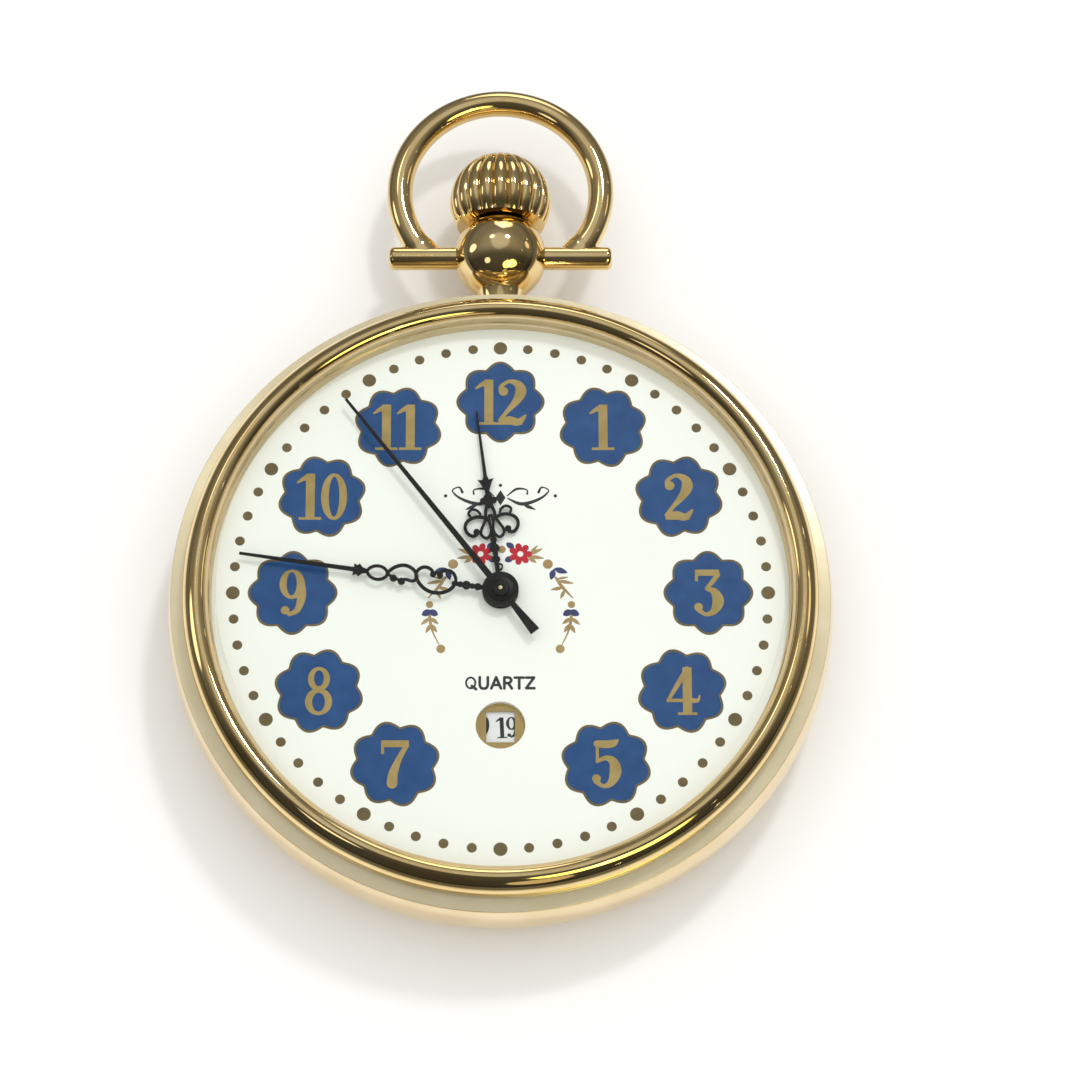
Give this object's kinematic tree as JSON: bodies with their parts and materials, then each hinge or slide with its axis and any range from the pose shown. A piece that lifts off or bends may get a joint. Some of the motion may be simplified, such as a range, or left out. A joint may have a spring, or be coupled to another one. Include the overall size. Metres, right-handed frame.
{
  "type": "pocket watch",
  "caption": "Round open-face pocket watch with a fluted crown, ball pendant, swinging bow, three hands and a date window.",
  "frame": {"origin": "centre of the flat face of the case back that the watch rests on", "axes": "+Z out through the dial, +Y to twelve o'clock and the crown, +X to three o'clock"},
  "size_m": [0.0496, 0.0677, 0.0099],
  "materials": {
    "gold_plate": "polished",
    "crystal_glass": "polished",
    "seal_nylon": "satin",
    "dial_enamel": "gloss",
    "hand_black": "satin",
    "steel": "brushed",
    "brass_works": "satin",
    "holder_plastic": "matte",
    "train_plastic": "satin",
    "copper_wire": "satin",
    "board_resin": "matte",
    "chip_resin": "matte",
    "cell_case": "satin",
    "date_white": "matte"
  },
  "bodies": {
    "watch": {"case_middle": "gold_plate", "bezel": "gold_plate", "rehaut_ring": "gold_plate", "case_back": "gold_plate", "pendant": "gold_plate", "date_mask": "gold_plate", "crystal": "crystal_glass", "crystal_gasket": "seal_nylon", "back_gasket": "seal_nylon", "dial": "dial_enamel", "crown_tube": "steel", "dial_feet": "steel", "dial_washer": "steel", "date_jumper": "steel", "date_guard": "steel", "guard_screws": "steel", "bridge_screws": "steel", "circuit_screws": "steel", "clamp_screw": "steel", "yoke": "steel", "stator": "steel", "coil_core": "steel", "battery_clamp": "steel", "battery_contact": "steel", "main_plate": "brass_works", "train_bridge": "brass_works", "movement_holder": "holder_plastic", "coil_winding": "copper_wire", "circuit_board": "board_resin", "ic_chip": "chip_resin", "battery": "cell_case", "quartz_can": "cell_case"},
    "seconds": {"seconds_wheel": "brass_works", "second_hand": "hand_black"},
    "third": {"third_wheel": "brass_works"},
    "intermediate": {"intermediate_wheel": "train_plastic"},
    "motor_rotor": {"rotor": "steel"},
    "minutes": {"centre_wheel": "brass_works", "minute_hand": "hand_black"},
    "minute_work": {"minute_wheel": "brass_works"},
    "hours": {"hour_wheel": "brass_works", "hour_hand": "hand_black"},
    "setting": {"setting_wheel": "brass_works"},
    "date_drive": {"date_driving_wheel": "train_plastic"},
    "date": {"date_ring": "date_white"},
    "bow": {"bow_ring": "gold_plate", "bow_pivot_left": "gold_plate", "bow_pivot_right": "gold_plate"},
    "sliding_pinion": {"sliding_pinion": "steel"},
    "crown": {"crown": "gold_plate", "stem": "steel", "crown_gasket": "seal_nylon"},
    "lever": {"setting_lever": "steel"}
  },
  "joints": [
    {"name": "seconds_spin", "type": "hinge", "parent": "watch", "child": "seconds", "pos_m": [0, 0, 0.005], "axis": [0, 0, 1], "continuous": true},
    {"name": "third_spin", "type": "hinge", "parent": "watch", "child": "third", "pos_m": [-0.00294, 0.0017, 0.005], "axis": [0, 0, 1], "continuous": true},
    {"name": "intermediate_spin", "type": "hinge", "parent": "watch", "child": "intermediate", "pos_m": [0.00303, -0.00175, 0.005], "axis": [0, 0, 1], "continuous": true},
    {"name": "rotor_spin", "type": "hinge", "parent": "watch", "child": "motor_rotor", "pos_m": [0.0035, -0.00349, 0.005], "axis": [0, 0, 1], "continuous": true},
    {"name": "minutes_spin", "type": "hinge", "parent": "watch", "child": "minutes", "pos_m": [0, 0, 0.005], "axis": [0, 0, 1], "continuous": true},
    {"name": "minute_wheel_spin", "type": "hinge", "parent": "watch", "child": "minute_work", "pos_m": [0.00212, 0.00212, 0.005], "axis": [0, 0, 1], "continuous": true},
    {"name": "hours_spin", "type": "hinge", "parent": "watch", "child": "hours", "pos_m": [0, 0, 0.005], "axis": [0, 0, 1], "continuous": true},
    {"name": "setting_wheel_spin", "type": "hinge", "parent": "watch", "child": "setting", "pos_m": [0.00064, 0.00529, 0.005], "axis": [0, 0, 1], "continuous": true},
    {"name": "date_wheel_spin", "type": "hinge", "parent": "watch", "child": "date_drive", "pos_m": [-0.00474, -0.00172, 0.005], "axis": [0, 0, 1], "continuous": true},
    {"name": "date_ring_spin", "type": "hinge", "parent": "watch", "child": "date", "pos_m": [0, 0, 0.005], "axis": [0, 0, 1], "continuous": true},
    {"name": "bow_swing", "type": "hinge", "parent": "watch", "child": "bow", "pos_m": [0, 0.02855, 0.0047], "axis": [1, 0, 0], "range_deg": [-125, 125]},
    {"name": "crown_turn", "type": "hinge", "parent": "watch", "child": "sliding_pinion", "pos_m": [0, 0.0074, 0.0047], "axis": [0, 1, 0], "continuous": true},
    {"name": "crown_pull", "type": "slide", "parent": "sliding_pinion", "child": "crown", "axis": [0, 1, 0], "range_m": [0, 0.0016]},
    {"name": "setting_lever_turn", "type": "hinge", "parent": "watch", "child": "lever", "pos_m": [-0.003, 0.0098, 0.0059], "axis": [0, 0, 1], "range_deg": [0, 30.94]}
  ],
  "couplings": [
    {"joint": "third_spin", "follows": "seconds_spin", "ratio": -0.13333},
    {"joint": "intermediate_spin", "follows": "seconds_spin", "ratio": -6},
    {"joint": "rotor_spin", "follows": "seconds_spin", "ratio": 30},
    {"joint": "minutes_spin", "follows": "seconds_spin", "ratio": 0.016667},
    {"joint": "minute_wheel_spin", "follows": "seconds_spin", "ratio": -0.0055556},
    {"joint": "hours_spin", "follows": "seconds_spin", "ratio": 0.0013889},
    {"joint": "setting_wheel_spin", "follows": "seconds_spin", "ratio": 0.01},
    {"joint": "date_wheel_spin", "follows": "seconds_spin", "ratio": -0.00069444},
    {"joint": "date_ring_spin", "follows": "seconds_spin", "ratio": -0.000022401},
    {"joint": "setting_lever_turn", "follows": "crown_pull", "rad_per_m": 337.42}
  ]
}
